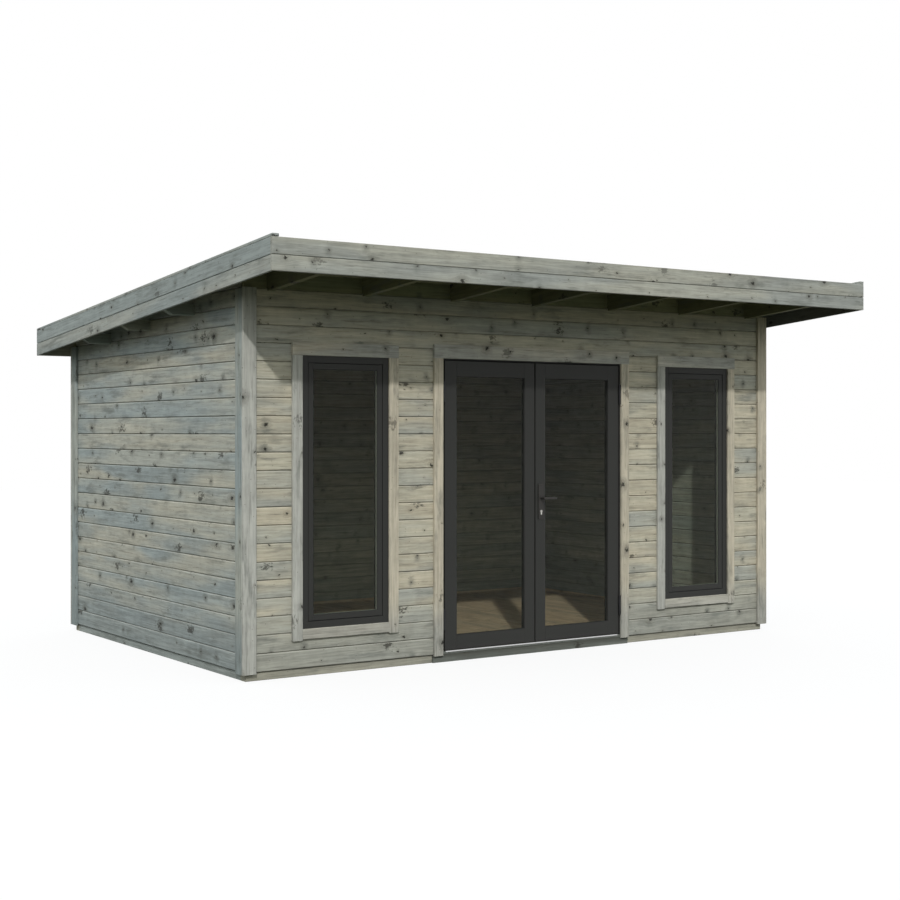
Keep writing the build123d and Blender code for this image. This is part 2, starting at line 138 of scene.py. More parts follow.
# Noises of the wood: repeats to the metre along, across and into the grain, detail and roughness
RINGS = ((2.0, 50, 20), 3.0, 0.7)
FIBRES = ((6, 125, 60), 4.0, 0.75)
MOTTLE = ((3.2, 17, 6), 4.0, 0.65)
CHATTER = ((13, 7, 3), 3.0, 0.6)
CHECKS = ((5, 74, 30), 3.0, 0.7)
BLEACH = ((2.4, 11, 4), 3.0, 0.6)
CLOUDS = ((0.8, 4.0, 1.4), 3.0, 0.5)
PATCHES = ((1.0, 13, 5), 3.0, 0.6)
SMUDGES = ((3.0, 14, 5), 4.0, 0.65)
RAGS = ((85, 130, 110), 4.0, 0.75)
TEARS = ((16, 24, 10), 4.0, 0.7)
SHREDS = ((30, 52, 34), 3.0, 0.68)
RIPPLE_GRAIN = (26, 44, 30)
RIPPLE_DETAIL = 2.0
RIPPLE_REACH = (0.036, 0.026, 0)

# How far rings, fibres, mottle and chatter lighten the wood, and what else does
RING_WEIGHT = 0.84
FIBRE_WEIGHT = 0.62
MOTTLE_WEIGHT = 0.36
CHATTER_WEIGHT = 0.26
SWIRL_WEIGHT = 0.11
TONE_WEIGHT = 0.10
BLEACH_WEIGHT = 0.13
PLAIN_LIGHT = 0.96

# A board's tone adds this share to its patches
TONE_SHARE = 0.28

# Where patches, clouds, checks, bleached spots and smudges start and are full
PATCH_RANGE = (0.38, 0.88)
CLOUD_RANGE = (0.40, 0.64)
CHECK_RANGE = (0.56, 0.72)
BLEACH_RANGE = (0.58, 0.76)
SMUDGE_RANGE = (0.52, 0.72)

# Knots, bursts and pins: cells to the metre along and across the grain, sizes, shares and edges
KNOTS = (4.2, 8.8)
KNOT_SMALL = 0.0054
KNOT_LARGE = 0.0190
KNOT_LEAN = 2.5
KNOT_RAGGED = 2.6
KNOT_EDGE = (2.15, 1.80)
KNOT_PULL = 0.85
KNOT_SWIRLS = 7.0
HALO_EDGE = (4.8, 1.8)
SMEAR_SIZE = 0.0110
SMEAR_TORN = 4.2
SMEAR_EDGE = (5.2, 1.6)
SMEAR_CHANCE = 0.55
BURSTS = (1.7, 6.0)
BURST_SIZE = 0.034
BURST_SHREDDED = 5.0
BURST_EDGE = (3.5, 2.7)
BURST_SHARE = 0.42
PINS = (13.0, 24.0)
PIN_RADIUS = 0.0032
PIN_EDGE = (1.0, 0.3)
PIN_SHARE = 0.16
CELL_CHANCE = 0.95

# Shares that distances count for: along the grain in all marks, and across it in smears
MARKS = (0.80, 0.55)
SIDE_MARKS = (0.60, 0.62)

# Shades of the marks and how far they cover the wood; smears and bursts differ between timbers
SMUDGE_STAIN = ((98, 101, 96), 0.55)
CHECK_STAIN = ((70, 67, 59), 0.34)
SMEAR_SHADE = (78, 82, 79)
HALO_STAIN = ((100, 94, 80), 0.22)
BURST_SHADE = (52, 50, 44)
BURST_DEPTH = 1.33
KNOT_STAIN = ((34, 32, 28), 0.90)
PIN_STAIN = ((46, 44, 39), 0.72)
# Dirt and painted shade: in the joints, on the door's apron and on the fascias' inner faces
DIRT_AND_SHADE_STAIN = ((44, 40, 32), 0.72)
# Painted highlight on the boards' upper edges
PAINTED_HIGHLIGHT_STAIN = ((206, 204, 192), -0.22)

# Indoors this share of the wear is left out and the wood takes a tint; near the ground it is greyer
INSIDE_FRESH = 0.62
INSIDE_TINT = 0.40
INSIDE_SHADE = (176, 182, 172)
SPLASH_TOP = 0.50
SPLASH_LOW = 0.16
SPLASH_SHADE = 0.13
SPLASH_COOL = 0.85

# How much the shades of paint and metal vary
PAINT_WEAR = 0.30
METAL_WEAR = 0.24

# Studio
FLOOR_SIZE = 60.0
FLOOR_PALE = (0.9, 0.9, 0.9, 1.0)
FLOOR_BOUNCE = (0.074, 0.078, 0.056, 1.0)
FLOOR_WHITE = 0.85
WHITE = (1, 1, 1, 1)
SKY_SHADES = (
    (0.0, (0.30, 0.32, 0.28, 1.0)),
    (0.17, (1.31, 1.38, 1.36, 1.0)),
    (0.50, (1.19, 1.26, 1.27, 1.0)),
    (0.95, (0.61, 0.66, 0.70, 1.0)),
)
SUN_AZIMUTH = math.radians(31.2)
SUN_ELEVATION = math.radians(33.0)
SUN_STRENGTH = 1.75
SUN_SOFTNESS = math.radians(1.6)
CAMERA_PLACE = (-6.400, -9.603, 1.549)
CAMERA_TURN = math.radians(-34.043)
CAMERA_SENSOR = 36.0
CAMERA_LENS = 60.14
CAMERA_SHIFT = -0.0200

# Places read from the frame
WALL_LOW, WALL_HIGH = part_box("front_wall_left")
BACK_LOW, BACK_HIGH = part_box("back_wall")
SIDE = -WALL_LOW.x
FRONT = WALL_LOW.y
FRONT_INSIDE = WALL_HIGH.y
BACK = BACK_HIGH.y
BACK_INSIDE = BACK_LOW.y
WALL = FRONT_INSIDE - FRONT
BASE_TOP = WALL_LOW.z
EAVE = WALL_HIGH.z
SLOPE = math.tan(ROOF_PITCH)


def rafter_z(y):
    """Height of the rafters' underside at depth y."""
    return EAVE - SLOPE * (y - FRONT)


# Ways to lay a piece: u runs along the grain, v across the face and w into the piece
def facing_front(y):
    """u along X, v up, w back from depth y."""
    return lambda u, v, w: (u, y + w, v)


def facing_side(x, inward):
    """u along Y, v up, w from x towards the middle of the house."""
    return lambda u, v, w: (x + inward * w, u, v)


def upright_front(y):
    """u up, v along X, w back from depth y."""
    return lambda u, v, w: (v, y + w, u)


def upright_side(x, inward):
    """u up, v along Y, w from x towards the middle of the house."""
    return lambda u, v, w: (x + inward * w, v, u)


def down_roof(u, v, w):
    """u down the roof's slope, v above the rafters' underside, w along X."""
    return (w, u, rafter_z(u) + v)


def along_eaves(u, v, w):
    """u along X, v above the rafters' underside, w down the roof's slope."""
    return (u, w, rafter_z(w) + v)


def over_rafters(rise):
    """u along X, v down the roof's slope, w above a height over the rafters' underside."""
    return lambda u, v, w: (u, v, rafter_z(v) + (w + rise))


def lying_y(u, v, w):
    """u along Y, v along X, w up."""
    return (v, u, w)


def on_face(u, v, w):
    """u along X, v up, w back."""
    return (u, w, v)


def eased(v_low, v_high, w_low, w_high, edges, faces=(0, 0), joints=(0, 0)):
    """A profile of (v, w, dirt and painted light) with its low and high edges eased, and dirt and
    painted light on faces and joints.
    """
    low, high = edges
    return [
        (v_low + low, w_low, faces[0]),
        (v_high - high, w_low, faces[0]),
        (v_high, w_low + high, joints[1]),
        (v_high, w_high - high, joints[1]),
        (v_high - high, w_high, faces[1]),
        (v_low + low, w_high, faces[1]),
        (v_low, w_high - low, joints[0]),
        (v_low, w_low + low, joints[0]),
    ]


class Piece:
    """One mesh made of many boards, each with its own stretch of grain."""

    def __init__(self, name):
        self.name = name
        self.points = []
        self.faces = []
        self.grain = []
        self.tone = []
        self.dirt_and_painted_light = []

    def span(self, ends, place, seed, tone=None):
        """A closed shape between two like rings of (u, v, w, dirt and painted light) points."""
        draw = random.Random(f"{self.name} {seed}")
        shift = Vector([draw.uniform(0, GRAIN_REACH) for axis in range(3)])
        if tone is None:
            tone = draw.random()
        first = len(self.points)
        count = len(ends[0])
        for u, v, w, dirt_and_painted_light in ends[0] + ends[1]:
            self.points.append(place(u, v, w))
            self.grain.append(Vector((u, v, w)) + shift)
            self.tone.append(tone)
            self.dirt_and_painted_light.append(dirt_and_painted_light)
        for index in range(count):
            after = (index + 1) % count
            self.faces.append(
                (first + index, first + after, first + count + after, first + count + index)
            )
        self.faces.append(tuple(range(first, first + count)))
        self.faces.append(tuple(range(first + count, first + 2 * count)))

    def prism(self, profile, u_low, u_high, place, seed, tone=None):
        """A board with a closed profile of (v, w, dirt and painted light), from u_low to u_high or
        u_high(v).
        """
        reach = u_high if callable(u_high) else lambda v: u_high
        low_end = [(u_low, v, w, dirt_and_painted_light) for v, w, dirt_and_painted_light in profile]
        high_end = [(reach(v), v, w, dirt_and_painted_light) for v, w, dirt_and_painted_light in profile]
        self.span((low_end, high_end), place, seed, tone)

    def solid(self, outline, depth, place, seed):
        """A piece with an outline of (u, v) points and a depth along w."""
        self.span([[(u, v, w, 0) for u, v in outline] for w in depth], place, seed)

    def bar(
        self, u_low, u_high, v_low, v_high, w_low, w_high, place, seed,
        edge=TRIM_EDGE, tone=None, dirt_and_painted_light=(0, 0),
    ):
        """A straight piece with its long edges eased; dirt and painted light lie on its low and its
        high face.
        """
        profile = eased(v_low, v_high, w_low, w_high, (edge, edge), faces=dirt_and_painted_light)
        self.prism(profile, u_low, u_high, place, seed, tone)

    def plank(self, u_low, u_high, v_low, v_high, thickness, place, seed, chamfers):
        """A tongued board: chamfers gives the size of its low and its high joint's chamfer."""
        # The low joint's chamfer is darkened with dirt and painted shade, the high one lightened with
        # a painted highlight
        joints = (JOINT_DIRT_AND_SHADE if chamfers[0] else 0, PAINTED_EDGE_HIGHLIGHT if chamfers[1] else 0)
        profile = eased(v_low, v_high, 0, thickness, chamfers, joints=joints)
        profile = [point for index, point in enumerate(profile) if point != profile[index - 1]]
        self.prism(profile, u_low, u_high, place, seed)

    def build(self, material, slot, body, *nodes):
        """Make the object, set it on its body and let it stand for the CAD nodes."""
        mesh = bpy.data.meshes.new(self.name)
        mesh.from_pydata([tuple(point) for point in self.points], [], self.faces)
        work = bmesh.new()
        work.from_mesh(mesh)
        bmesh.ops.recalc_face_normals(work, faces=work.faces)
        work.to_mesh(mesh)
        work.free()
        grain = mesh.attributes.new("grain", "FLOAT_VECTOR", "POINT")
        grain.data.foreach_set("vector", [value for point in self.grain for value in point])
        for name, values in (("tone", self.tone), ("dirt_and_painted_light", self.dirt_and_painted_light)):
            layer = mesh.attributes.new(name, "FLOAT", "POINT")
            layer.data.foreach_set("value", values)
        mesh.materials.append(material)
        piece = bpy.data.objects.new(self.name, mesh)
        bpy.context.scene.collection.objects.link(piece)
        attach(piece, body)
        if nodes:
            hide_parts(*nodes)


class Nodes:
    """Short calls for building a tree of shading nodes."""

    def __init__(self, tree):
        self.tree = tree
        self.tree.nodes.clear()

    def node(self, kind, inputs, **settings):
        """A node with its settings, and its inputs as sockets to link or as values."""
        made = self.tree.nodes.new(kind)
        for key, value in settings.items():
            setattr(made, key, value)
        for key, value in inputs.items():
            if isinstance(value, bpy.types.NodeSocket):
                self.tree.links.new(value, made.inputs[key])
            else:
                made.inputs[key].default_value = value
        return made

    def attribute(self, name, output):
        return self.node("ShaderNodeAttribute", {}, attribute_name=name).outputs[output]

    def object_place(self):
        return self.node("ShaderNodeTexCoord", {}).outputs["Object"]

    def vector(self, operation, first, second=None):
        inputs = {0: first} if second is None else {0: first, 1: second}
        made = self.node("ShaderNodeVectorMath", inputs, operation=operation)
        return made.outputs["Value" if operation == "LENGTH" else "Vector"]

    def math(self, operation, first, second=0.0, clamp=False):
        made = self.node("ShaderNodeMath", {0: first, 1: second}, operation=operation, use_clamp=clamp)
        return made.outputs[0]

    def times(self, first, second):
        return self.math("MULTIPLY", first, second)

    def noise(self, vector, scale, detail=2.0, roughness=0.5, output=0):
        """Noise from 0 to 1, with its own scale along, across and into the grain."""
        stretched = self.vector("MULTIPLY", vector, scale)
        made = self.node(
            "ShaderNodeTexNoise",
            {"Vector": stretched, "Scale": 1.0, "Detail": detail, "Roughness": roughness},
        )
        return made.outputs[output]

    def spread(self, value, low, high, to_low=0.0, to_high=1.0):
        """Value from low to high taken to a new range, smoothly and clamped."""
        made = self.node(
            "ShaderNodeMapRange", {"Value": value, 1: low, 2: high, 3: to_low, 4: to_high},
            interpolation_type="SMOOTHSTEP",
        )
        return made.outputs[0]

    def mix(self, factor, first, second):
        made = self.node("ShaderNodeMix", {0: factor, 6: first, 7: second}, data_type="RGBA")
        return made.outputs[2]

    def stain(self, base, amount, mark):
        """The base colour under a mark of (shade, depth) where there is an amount of it."""
        shade, depth = mark
        return self.mix(self.math("MULTIPLY", amount, depth, clamp=True), base, colour(*shade))

    def lit(self, base, value):
        """The base colour made lighter or darker."""
        return self.node("ShaderNodeHueSaturation", {"Color": base, "Value": value}).outputs[0]

    def seen(self):
        """1 for what the camera sees, in mirrors and through glass too, and 0 for other light."""
        path = self.node("ShaderNodeLightPath", {}).outputs
        straight = self.math("MAXIMUM", path["Is Camera Ray"], path["Is Glossy Ray"])
        return self.math("MAXIMUM", straight, path["Is Transmission Ray"])

    def blend(self, factor, first, second):
        """Two shaders mixed by a factor."""
        inputs = {0: factor, 1: first.outputs[0], 2: second.outputs[0]}
        return self.node("ShaderNodeMixShader", inputs)


class Shader(Nodes):
    """The nodes of one new material."""

    def __init__(self, name):
        self.material = bpy.data.materials.new(name)
        self.material.use_nodes = True
        super().__init__(self.material.node_tree)

    def finish(self, shader):
        """Let the shader be the material's surface."""
        self.node("ShaderNodeOutputMaterial", {"Surface": shader.outputs[0]})
        return self.material

    def surface(self, inputs, bump, strength, distance):
        """The main shader, with a bump from a height."""
        raised = self.node(
            "ShaderNodeBump", {"Height": bump, "Strength": strength, "Distance": distance}
        )
        inputs["Normal"] = raised.outputs[0]
        return self.finish(self.node("ShaderNodeBsdfPrincipled", inputs))


def colour(red, green, blue):
    """A linear colour from its screen values."""
    parts = []
    for value in (red, green, blue):
        share = value / 255
        parts.append(share / 12.92 if share <= 0.04045 else ((share + 0.055) / 1.055) ** 2.4)
    return (*parts, 1.0)


def scattered(s, grain, cells, stretch):
    """Marks strewn over the grain: the way to the nearest in metres, and three chances for it."""
    along, across = cells
    spots = s.vector("MULTIPLY", grain, (along, across, 0))
    marks = s.node(
        "ShaderNodeTexVoronoi", {"Vector": spots, "Scale": 1.0, "Randomness": CELL_CHANCE},
        voronoi_dimensions="2D",
    )
    away = s.vector("SUBTRACT", spots, marks.outputs["Position"])
    away = s.vector("MULTIPLY", away, (stretch / along, 1 / across, 0))
    chances = s.node("ShaderNodeSeparateColor", {0: marks.outputs["Color"]}).outputs
    return away, chances


def indoors(s, spot):
    """1 within the middle of the walls and 0 outside it."""
    room = s.math("LESS_THAN", s.math("ABSOLUTE", spot[0]), SIDE - WALL / 2)
    room = s.times(room, s.math("GREATER_THAN", spot[1], FRONT + WALL / 2))
    return s.times(room, s.math("LESS_THAN", spot[1], BACK - WALL / 2))


def knots(s, grain, torn_grain, share, worn, marks):
    """Knots: the way to each, its core, halo and swirl, and the smear beside it."""
    away, chances = scattered(s, torn_grain, KNOTS, marks[0])
    present = s.times(s.math("LESS_THAN", chances[1], share), worn)
    lean = s.math("POWER", chances[0], KNOT_LEAN)
    radius = s.spread(lean, 0.0, 1.0, KNOT_SMALL, KNOT_LARGE)
    ragged = s.times(s.noise(grain, *RAGS), KNOT_RAGGED)
    far = s.math("ADD", s.math("DIVIDE", s.vector("LENGTH", away), radius), ragged)
    core = s.times(s.spread(far, *KNOT_EDGE), present)
    halo = s.times(s.spread(far, *HALO_EDGE), present)
    swirl = s.times(s.math("SINE", s.times(far, KNOT_SWIRLS)), halo)

    smear_away = s.vector("MULTIPLY", away, (1.0, marks[1], 0))
    smear_size = s.math("MAXIMUM", radius, SMEAR_SIZE)
    smear_far = s.math("DIVIDE", s.vector("LENGTH", smear_away), smear_size)
    smear_far = s.math("ADD", smear_far, s.times(s.noise(grain, *TEARS), SMEAR_TORN))
    smeared = s.times(present, s.math("GREATER_THAN", chances[2], SMEAR_CHANCE))
    smear = s.times(s.spread(smear_far, *SMEAR_EDGE), smeared)
    return away, core, halo, swirl, smear


def bursts(s, grain, torn_grain, worn, marks):
    """Large knots broken up into shreds."""
    away, chances = scattered(s, torn_grain, BURSTS, marks[0])
    far = s.math("DIVIDE", s.vector("LENGTH", away), BURST_SIZE)
    far = s.math("ADD", far, s.times(s.noise(grain, *SHREDS), BURST_SHREDDED))
    present = s.times(s.math("LESS_THAN", chances[0], BURST_SHARE), worn)
    return s.times(s.spread(far, *BURST_EDGE), present)


def pins(s, grain, marks):
    """Pin knots."""
    away, chances = scattered(s, grain, PINS, marks[0])
    far = s.math("DIVIDE", s.vector("LENGTH", away), PIN_RADIUS)
    return s.times(s.spread(far, *PIN_EDGE), s.math("LESS_THAN", chances[0], PIN_SHARE))


def bent_grain(s, grain, away, halo):
    """The grain drawn round the knots."""
    parts = s.node("ShaderNodeSeparateXYZ", {0: grain}).outputs
    aside = s.node("ShaderNodeSeparateXYZ", {0: away}).outputs[1]
    pull = s.times(aside, s.times(halo, KNOT_PULL))
    across = s.math("SUBTRACT", parts[1], pull)
    return s.node("ShaderNodeCombineXYZ", {0: parts[0], 1: across, 2: parts[2]}).outputs[0]


def timber(
    name, warm, plain, cool, knot_share=0.7, contrast=1.0, smears=0.60, marks=MARKS, tint=INSIDE_TINT
):
    """Weathered softwood: shades in patches, growth rings, fibres, knots, smears and stains, with
    dirt, painted shade and painted highlights at edges, joints and faces.
    """
    s = Shader(name)
    warm, plain, cool = [colour(*shade) for shade in (warm, plain, cool)]
    grain = s.attribute("grain", "Vector")
    tone = s.attribute("tone", "Fac")
    dirt_and_painted_light = s.attribute("dirt_and_painted_light", "Fac")
    spot = s.node("ShaderNodeSeparateXYZ", {0: s.object_place()}).outputs
    room = indoors(s, spot)
    worn = s.math("SUBTRACT", 1.0, s.times(room, INSIDE_FRESH))

    ripple = s.noise(grain, RIPPLE_GRAIN, RIPPLE_DETAIL, output="Color")
    ripple = s.vector("MULTIPLY", s.vector("SUBTRACT", ripple, (0.5, 0.5, 0.5)), RIPPLE_REACH)
    torn_grain = s.vector("ADD", grain, ripple)
    away, core, halo, swirl, smear = knots(s, grain, torn_grain, knot_share, worn, marks)
    bent = bent_grain(s, grain, away, halo)
    rings = s.noise(bent, *RINGS)
    fibres = s.noise(bent, *FIBRES)
    patches = s.noise(grain, *PATCHES)

    share = s.math("ADD", s.times(tone, TONE_SHARE), patches)
    base = s.mix(s.spread(share, *PATCH_RANGE), warm, plain)
    clouds = s.spread(s.noise(grain, *CLOUDS), *CLOUD_RANGE)
    base = s.mix(s.times(clouds, s.spread(tone, WARM_TONE, 0.0)), base, cool)
    base = s.mix(s.spread(tone, 1.0, COOL_TONE), base, cool)
    base = s.mix(s.times(room, tint), base, colour(*INSIDE_SHADE))
    splash = s.times(s.spread(spot[2], SPLASH_TOP, SPLASH_LOW), worn)
    base = s.mix(s.times(splash, SPLASH_COOL), base, cool)

    strong = contrast * (RING_WEIGHT + FIBRE_WEIGHT + MOTTLE_WEIGHT + CHATTER_WEIGHT)
    light = PLAIN_LIGHT - strong / 2
    for value, weight in (
        (rings, RING_WEIGHT * contrast),
        (fibres, FIBRE_WEIGHT * contrast),
        (s.noise(grain, *MOTTLE), MOTTLE_WEIGHT * contrast),
        (s.noise(grain, *CHATTER), CHATTER_WEIGHT * contrast),
        (swirl, SWIRL_WEIGHT),
        (s.spread(tone, 0.0, 1.0), TONE_WEIGHT),
        (s.spread(s.noise(grain, *BLEACH), *BLEACH_RANGE), BLEACH_WEIGHT),
        (splash, -SPLASH_SHADE),
    ):
        light = s.math("ADD", light, s.times(value, weight))
    base = s.lit(base, light)

    smudges = s.times(s.spread(s.noise(grain, *SMUDGES), *SMUDGE_RANGE), worn)
    base = s.stain(base, smudges, SMUDGE_STAIN)
    base = s.stain(base, s.spread(s.noise(bent, *CHECKS), *CHECK_RANGE), CHECK_STAIN)
    base = s.stain(base, smear, (SMEAR_SHADE, smears))
    base = s.stain(base, halo, HALO_STAIN)
    burst = bursts(s, grain, torn_grain, worn, marks)
    base = s.stain(base, burst, (BURST_SHADE, BURST_DEPTH * smears))
    base = s.stain(base, core, KNOT_STAIN)
    base = s.stain(base, pins(s, grain, marks), PIN_STAIN)
    # Dark in the joints from dirt and painted shade, and painted shade on the door's apron and the
    # fascias' inner faces
    base = s.stain(base, dirt_and_painted_light, DIRT_AND_SHADE_STAIN)
    # Painted highlight on the boards' upper edges, where light falls on them
    base = s.stain(base, dirt_and_painted_light, PAINTED_HIGHLIGHT_STAIN)

    relief = s.math("SUBTRACT", s.math("ADD", rings, fibres), s.times(core, 0.8))
    rough = s.spread(patches, 0.2, 0.8, 0.74, 0.92)
    return s.surface(
        {"Base Color": base, "Roughness": rough, "Specular IOR Level": 0.2},
        bump=relief, strength=0.35, distance=0.0012,
    )


def worn_coat(s, shade, roughness, wear, share):
    """A shade, lighter and darker by half the share, and a roughness, by a wear of 0 to 1."""
    light = s.math("ADD", s.times(wear, share), 1 - share / 2)
    rough = s.spread(wear, 0.2, 0.8, roughness - 0.06, roughness + 0.08)
    return {"Base Color": s.lit(colour(*shade), light), "Roughness": rough}


def paint(name, shade, roughness):
    """Satin paint with a faint brush texture and a little wear in its shade."""
    s = Shader(name)
    place = s.object_place()
    cloud = s.noise(place, (3, 3, 2), 3.0)
    grit = s.noise(place, (420, 420, 90))
    coat = worn_coat(s, shade, roughness, cloud, PAINT_WEAR)
    coat["Specular IOR Level"] = 0.19
    return s.surface(coat, bump=grit, strength=0.12, distance=0.0005)


def metal(name, shade, roughness, stretch):
    """Metal with fine brushing along one axis."""
    s = Shader(name)
    brushed = s.noise(s.object_place(), stretch)
    coat = worn_coat(s, shade, roughness, brushed, METAL_WEAR)
    coat["Metallic"] = 1.0
    return s.surface(coat, bump=brushed, strength=0.08, distance=0.0004)


def felt(name):
    """Mineral roofing felt: dark granules with pale specks."""
    s = Shader(name)
    place = s.object_place()
    grains = s.noise(place, (460, 460, 460), 2.0, 0.7)
    cloud = s.noise(place, (1.4, 1.4, 1.4), 3.0)
    base = s.mix(s.spread(grains, 0.35, 0.72), colour(48, 50, 50), colour(108, 110, 106))
    base = s.stain(base, cloud, ((70, 72, 68), 0.4))
    return s.surface(
        {"Base Color": base, "Roughness": 0.92, "Specular IOR Level": 0.2},
        bump=grains, strength=0.5, distance=0.0015,
    )


def glass(name):
    """Window glass that lets lamps through to the room."""
    s = Shader(name)
    ripple = s.noise(s.object_place(), (2.2, 2.2, 1.6), 1.0)
    raised = s.node("ShaderNodeBump", {"Height": ripple, "Strength": 0.05, "Distance": 0.002})
    pane = s.node(
        "ShaderNodeBsdfPrincipled",
        {
            "Base Color": colour(206, 212, 202),
            "Roughness": 0.01,
            "IOR": 1.19,
            "Transmission Weight": 1.0,
            "Normal": raised.outputs[0],
        },
    )
    clear = s.node("ShaderNodeBsdfTransparent", {"Color": colour(238, 238, 234)})
    path = s.node("ShaderNodeLightPath", {}).outputs
    lamp = s.math("MAXIMUM", path["Is Shadow Ray"], path["Is Diffuse Ray"])
    return s.finish(s.blend(lamp, pane, clear))


WALL_WOOD = timber(
    "weathered_boards", (180, 171, 151), (172, 167, 150), (154, 154, 145),
    knot_share=0.54, contrast=1.14,
)
# The sides' timbers are darker, bluer copies of the front's: painted shade and cool light of the sides
SHADED_SIDE_WOOD = timber(
    "weathered_side_boards", (170, 166, 152), (158, 159, 151), (140, 147, 146),
    knot_share=0.52, contrast=1.14, marks=SIDE_MARKS,
)
TRIM_WOOD = timber(
    "weathered_trim", (183, 174, 156), (177, 170, 154), (163, 162, 155),
    knot_share=0.42, contrast=1.1, smears=0.45,
)
SHADED_SIDE_TRIM_WOOD = timber(
    "weathered_side_trim_painted_shade", (158, 159, 150), (150, 154, 149), (138, 147, 147),
    knot_share=0.36, smears=0.3, marks=SIDE_MARKS,
)
FASCIA_WOOD = timber(
    "weathered_fascia", (158, 156, 144), (151, 151, 142), (140, 142, 137),
    knot_share=0.80, contrast=1.15, smears=0.4,
)
SHADED_SIDE_FASCIA_WOOD = timber(
    "weathered_side_fascia_painted_shade", (155, 155, 147), (147, 150, 145), (136, 142, 140),
    knot_share=0.72, contrast=1.1, smears=0.4, marks=SIDE_MARKS,
)
# Purlins in the sides' darker, bluer colours: painted shade
SHADED_PURLIN_WOOD = timber(
    "weathered_purlins_painted_shade", (150, 151, 138), (143, 147, 136), (132, 140, 134), knot_share=0.4
)
# Roof boards and rafters are darker, olive copies of the wood: painted shade under the eaves, the
# rafters darkest
SHADED_ROOF_WOOD = timber(
    "weathered_roof_boards", (147, 144, 113), (138, 138, 108), (124, 127, 100), knot_share=0.4
)
SHADED_RAFTER_WOOD = timber("weathered_rafters_painted_shade", (110, 109, 82), (103, 104, 78), (93, 96, 73), knot_share=0.4)
BASE_WOOD = timber("base_timber", (176, 170, 153), (168, 163, 148), (160, 157, 143), knot_share=0.2)
SHADED_SIDE_BASE_WOOD = timber(
    "side_base_timber_painted_shade", (166, 165, 156), (158, 160, 154), (148, 154, 151),
    knot_share=0.2, marks=SIDE_MARKS,
)
# A darker grey than the base timber: painted shade under the door
SHADED_SILL_WOOD = timber("sill_painted_shade", (116, 117, 109), (112, 114, 107), (108, 111, 105), knot_share=0.2)
FLOOR_WOOD = timber(
    "floor_timber", (226, 196, 166), (213, 187, 160), (194, 174, 152),
    knot_share=0.5, contrast=1.5, tint=0.0,
)
ANTHRACITE = paint("anthracite_paint", (46, 46, 44), 0.50)
HINGE_METAL = paint("black_hinge_enamel", (34, 34, 35), 0.38)
HANDLE_METAL = paint("dark_handle_enamel", (52, 50, 48), 0.34)
RUBBER = paint("black_glazing_rubber", (24, 24, 25), 0.6)
SPACER_GREY = paint("grey_pane_spacer", (132, 134, 128), 0.5)
ALUMINIUM = metal("brushed_aluminium", (206, 206, 206), 0.36, (6, 900, 900))
LOCK_STEEL = metal("brushed_steel", (200, 198, 192), 0.28, (900, 300, 60))
FELT = felt("mineral_felt")
GLASS = glass("window_glass")


def courses(piece, low, high, ends, openings, thickness, place, cut=None):
    """Horizontal wall boards from low to high, left out at the openings (u, u, low, high).

    cut gives how far along the wall a board reaches at a height, where the roof slopes.
    """
    count = math.ceil((high - low) / BOARD_PITCH - NEAR)
    for index in range(count):
        course_low = low + index * BOARD_PITCH
        course_high = min(course_low + BOARD_PITCH, high)
        levels = {course_low, course_high}
        for opening in openings:
            levels.update(z for z in opening[2:] if course_low < z < course_high)
        levels = sorted(levels)
        for band_low, band_high in zip(levels, levels[1:]):
            chamfers = (
                BOARD_CHAMFER if band_low == course_low else 0,
                BOARD_CHAMFER if band_high == course_high else 0,
            )
            starts = [ends[0]]
            stops = []
            for u_low, u_high, z_low, z_high in sorted(openings):
                if z_low < band_high - NEAR and z_high > band_low + NEAR:
                    stops.append(u_low)
                    starts.append(u_high)
            stops.append(ends[1])
            for start, stop in zip(starts, stops):
                if stop - start > NEAR:
                    piece.plank(
                        start, cut or stop, band_low, band_high, thickness, place, index, chamfers
                    )


def build_walls():
    """Boards of the four walls, cut at the windows, the door and the roof."""
    hole_low, hole_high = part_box("window_frames")
    header_low, header_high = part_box("front_wall_header")
    half = hole_high.x - WINDOW_CENTRE
    openings = [(x - half, x + half, hole_low.z, hole_high.z) for x in WINDOW_CENTRES]
    openings.append((header_low.x, header_high.x, BASE_TOP - BOARD_PITCH, header_low.z))
    front = Piece("front_boards")
    courses(front, BASE_TOP, EAVE, (-SIDE, SIDE), openings, WALL, facing_front(FRONT))
    front.build(
        WALL_WOOD, "wall_timber", "house", "front_wall_left", "front_wall_right", "front_wall_header"
    )

    back = Piece("back_boards")
    courses(back, BASE_TOP, BACK_HIGH.z, (-SIDE, SIDE), [], WALL, facing_front(BACK_INSIDE))
    back.build(WALL_WOOD, "wall_timber", "house", "back_wall")

    for name, x, inward in (("left", -SIDE, 1), ("right", SIDE, -1)):
        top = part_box(f"{name}_wall")[1].z
        rise = top - rafter_z(FRONT_INSIDE)
        back_top = rafter_z(BACK_INSIDE) + rise

        def reach(z):
            """How far back a board goes at height z before it meets the roof."""
            return min(BACK_INSIDE, FRONT + (EAVE + rise - z) / SLOPE)

        side = Piece(f"{name}_boards")
        notch = (BACK_INSIDE, BACK_INSIDE, back_top, back_top)
        courses(
            side, BASE_TOP, top, (FRONT_INSIDE, BACK_INSIDE), [notch], WALL,
            facing_side(x, inward), reach,
        )
        side.build(SHADED_SIDE_WOOD, "wall_timber", "house", f"{name}_wall")


